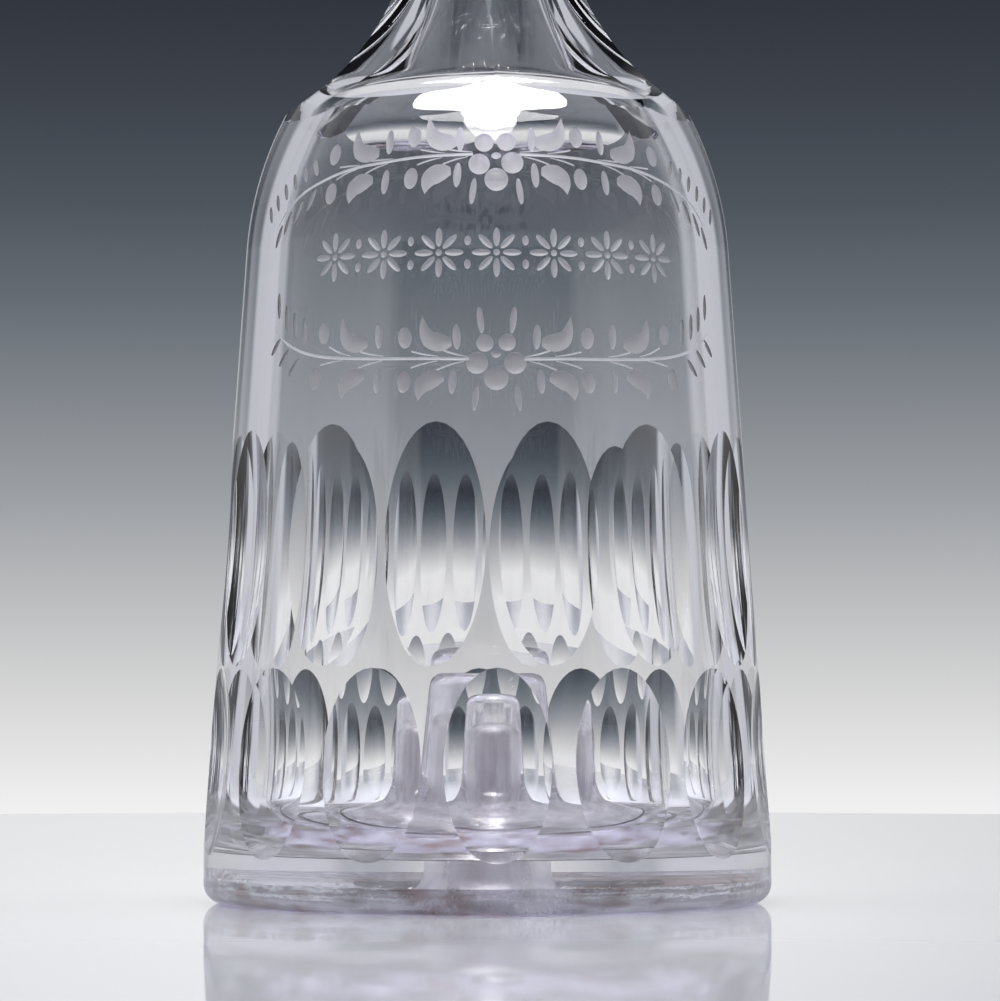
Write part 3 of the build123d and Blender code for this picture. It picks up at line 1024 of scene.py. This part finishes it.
# Surroundings: a graded sky all round, nearly white where it meets the table and dark slate above,
# and two pale panels beside the backdrop that only glass and metal show
surroundings = {
    "lowest": -3.0,
    "highest": 20.0,
    "grades": [
        (-1.7, (0.880, 0.880, 0.880)),
        (-0.2, (0.680, 0.680, 0.680)),
        (1.2, (0.497, 0.503, 0.515)),
        (2.5, (0.337, 0.352, 0.376)),
        (3.9, (0.220, 0.238, 0.262)),
        (5.2, (0.130, 0.150, 0.174)),
        (6.5, (0.076, 0.091, 0.109)),
        (7.9, (0.048, 0.056, 0.072)),
        (9.3, (0.031, 0.036, 0.047)),
        (11.0, (0.070, 0.078, 0.094)),
        (14.0, (0.130, 0.140, 0.160)),
        (20.0, (0.170, 0.180, 0.200)),
    ],
    # beside the bottle the sky darkens more slowly, and so it does straight behind in what is mirrored
    "sideGrade": 0.25,
    "mirrorGrade": 0.02,
    "mirrorDrop": 1.2,
    "mirrorEdge": 11.0,
    "roomEdge": 128.0,
    "room": (0.045, 0.048, 0.055),  # the dark room in front of the bottle
    "panelEdge": 25.0,
    "panelEnd": 52.0,
    "panelTop": 48.0,
    "softness": 0.02,
    "panel": (0.56, 0.57, 0.62),
    "fill": (0.66, 0.67, 0.70),
}


def makeSurroundings():
    world = bpy.data.worlds.new("surroundings")
    bpy.context.scene.world = world
    shop = Shop(world)
    plan = surroundings
    direction = shop.add("ShaderNodeTexCoord", output="Generated")
    rise = shop.add("ShaderNodeSeparateXYZ", {}, {"Vector": direction}, "Z")
    level = shop.add("ShaderNodeVectorMath", {"operation": "MULTIPLY"}, {0: direction, 1: (1, 1, 0)})
    level = shop.add("ShaderNodeVectorMath", {"operation": "NORMALIZE"}, {0: level})
    behind = shop.add("ShaderNodeSeparateXYZ", {}, {"Vector": level}, "Y")
    bottom, top = sin(radians(plan["lowest"])), sin(radians(plan["highest"]))
    stops = [((sin(radians(e)) - bottom) / (top - bottom), colour) for e, colour in plan["grades"]]

    def past(value, edge):  # 0 below the edge and 1 above it, with a soft step
        share = (value - edge) * (0.5 / plan["softness"]) + 0.5
        return share.maths("MINIMUM", share.maths("MAXIMUM", share, 0.0), 1.0)

    rays = {
        kind: shop.add("ShaderNodeLightPath", output=kind)
        for kind in ("Is Camera Ray", "Is Glossy Ray", "Is Transmission Ray", "Diffuse Depth")
    }
    steep = plan["sideGrade"] + (1 - plan["sideGrade"]) * past(behind, cos(radians(plan["panelEdge"])))
    mirrored = rays["Is Glossy Ray"] - rays["Is Transmission Ray"]
    mirrored = mirrored.maths("MAXIMUM", mirrored, 0.0) * past(behind, cos(radians(plan["mirrorEdge"])))
    steep = steep * (1.0 - (1 - plan["mirrorGrade"]) * mirrored)
    lowered = rise * steep - mirrored * sin(radians(plan["mirrorDrop"]))
    graded = shop.ramp((lowered - bottom) * (1 / (top - bottom)), stops)
    graded = shop.mix(past(behind, cos(radians(plan["roomEdge"]))), (*plan["room"], 1), graded)
    sideways = past(behind, cos(radians(plan["panelEnd"]))) - past(behind, cos(radians(plan["panelEdge"])))
    beside = sideways * (1.0 - past(rise, sin(radians(plan["panelTop"]))))
    seen = shop.mix(beside, graded, (*plan["panel"], 1))
    looking = rays["Is Camera Ray"] + rays["Is Glossy Ray"] + rays["Is Transmission Ray"]
    looking = looking.maths("MINIMUM", looking, 1.0) - rays["Diffuse Depth"]
    colour = shop.mix(looking.maths("MAXIMUM", looking, 0.0), (*plan["fill"], 1), seen)
    shop.add("ShaderNodeOutputWorld", {}, {"Surface": shop.add("ShaderNodeBackground", {}, {"Color": colour})})


# Softboxes: turn from the front and rise above the shoulder in degrees, distance in metres.
# The last three are the bright window that the shoulder and the neck's front edge mirror.
softboxes = {
    "leftBox": {"turn": -100, "rise": 24, "distance": 0.55, "size": (0.30, 0.40), "power": 1.0, "mirrored": False},
    "rightBox": {"turn": 100, "rise": 24, "distance": 0.55, "size": (0.30, 0.40), "power": 1.0, "mirrored": False},
    "topBox": {"turn": 0, "rise": 80, "distance": 0.52, "size": (0.50, 0.34), "power": 1.3, "mirrored": False},
    "leftWing": {"turn": -18, "rise": 57, "distance": 0.50, "size": (0.42, 0.10), "power": 2.6, "mirrored": True},
    "rightWing": {"turn": 18, "rise": 57, "distance": 0.50, "size": (0.42, 0.10), "power": 2.6, "mirrored": True},
    "heart": {"turn": 0, "rise": 56, "distance": 0.50, "size": (0.22, 0.20), "power": 2.4, "mirrored": True},
}


def makeSoftboxes():
    for name, box in softboxes.items():
        light = bpy.data.lights.new(name, "AREA")
        light.shape, light.energy = "ELLIPSE" if box["mirrored"] else "RECTANGLE", box["power"]
        light.size, light.size_y = box["size"]
        piece = bpy.data.objects.new(name, light)
        turn, rise = radians(box["turn"]), radians(box["rise"])
        shoulder = Vector((0, 0, neckRoot[1] * mm))
        away = Vector((sin(turn) * cos(rise), -cos(turn) * cos(rise), sin(rise)))
        piece.location = shoulder + away * box["distance"]
        piece.rotation_euler = away.to_track_quat("Z", "Y").to_euler()
        piece.visible_camera = False
        if box["mirrored"]:
            piece.visible_diffuse = False
        else:
            piece.visible_glossy = piece.visible_transmission = False
        bpy.context.scene.collection.objects.link(piece)


# Camera at the photograph's place: nearly level with the body, tilted up a little
view = {
    "distance": 0.5637,
    "height": 0.0284,
    "turn": -2.2,
    "aside": 0.00166,
    "tilt": 2.51,
    "lens": 153.0,
    "sensor": 36.0,
    "nearest": 0.02,
}


def makeCamera():
    camera = bpy.data.cameras.new("photoCamera")
    camera.lens, camera.sensor_width, camera.sensor_fit = view["lens"], view["sensor"], "HORIZONTAL"
    camera.clip_start = view["nearest"]
    piece = bpy.data.objects.new("photoCamera", camera)
    turn = radians(view["turn"])
    back = Vector((sin(turn), -cos(turn), 0)) * view["distance"]
    piece.location = back + Vector((cos(turn), sin(turn), 0)) * view["aside"] + Vector((0, 0, view["height"]))
    piece.rotation_euler = (radians(90 + view["tilt"]), 0, turn)
    bpy.context.scene.collection.objects.link(piece)
    bpy.context.scene.camera = piece


bpy.context.scene.view_settings.view_transform = "Standard"
makeCamera()
makeSurroundings()
makeTable()
makeSoftboxes()
print("stage set")

bottle = glassBottle(
    [
        clearGlass(),
        engravedGlass("engravedGlass", glassLook["leafMilk"], glassLook["leafPaintedShade"]),
        scuffedFootPaintedReflection(),
        pushupHollowPaintedShade(),
        engravedGlass("engravedLine", glassLook["lineMilk"], glassLook["linePaintedShade"]),
        pushupSkin(),
    ]
)
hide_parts("glass_bottle")
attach(bottle, "bottle")
print("glass cut and engraved:", len(bottle.data.polygons), "faces")

silver, tinned = silverPlate(), tinnedMetal()
for name in ("mount_plate", "dasher_nozzle", "nozzle_cap"):
    dress(name, silver)
for name in ("cork_washer", "clamp_nut", "pouring_tube"):
    dress(name, tinned)
dress("cork_bung", naturalCork())
print("closure dressed")
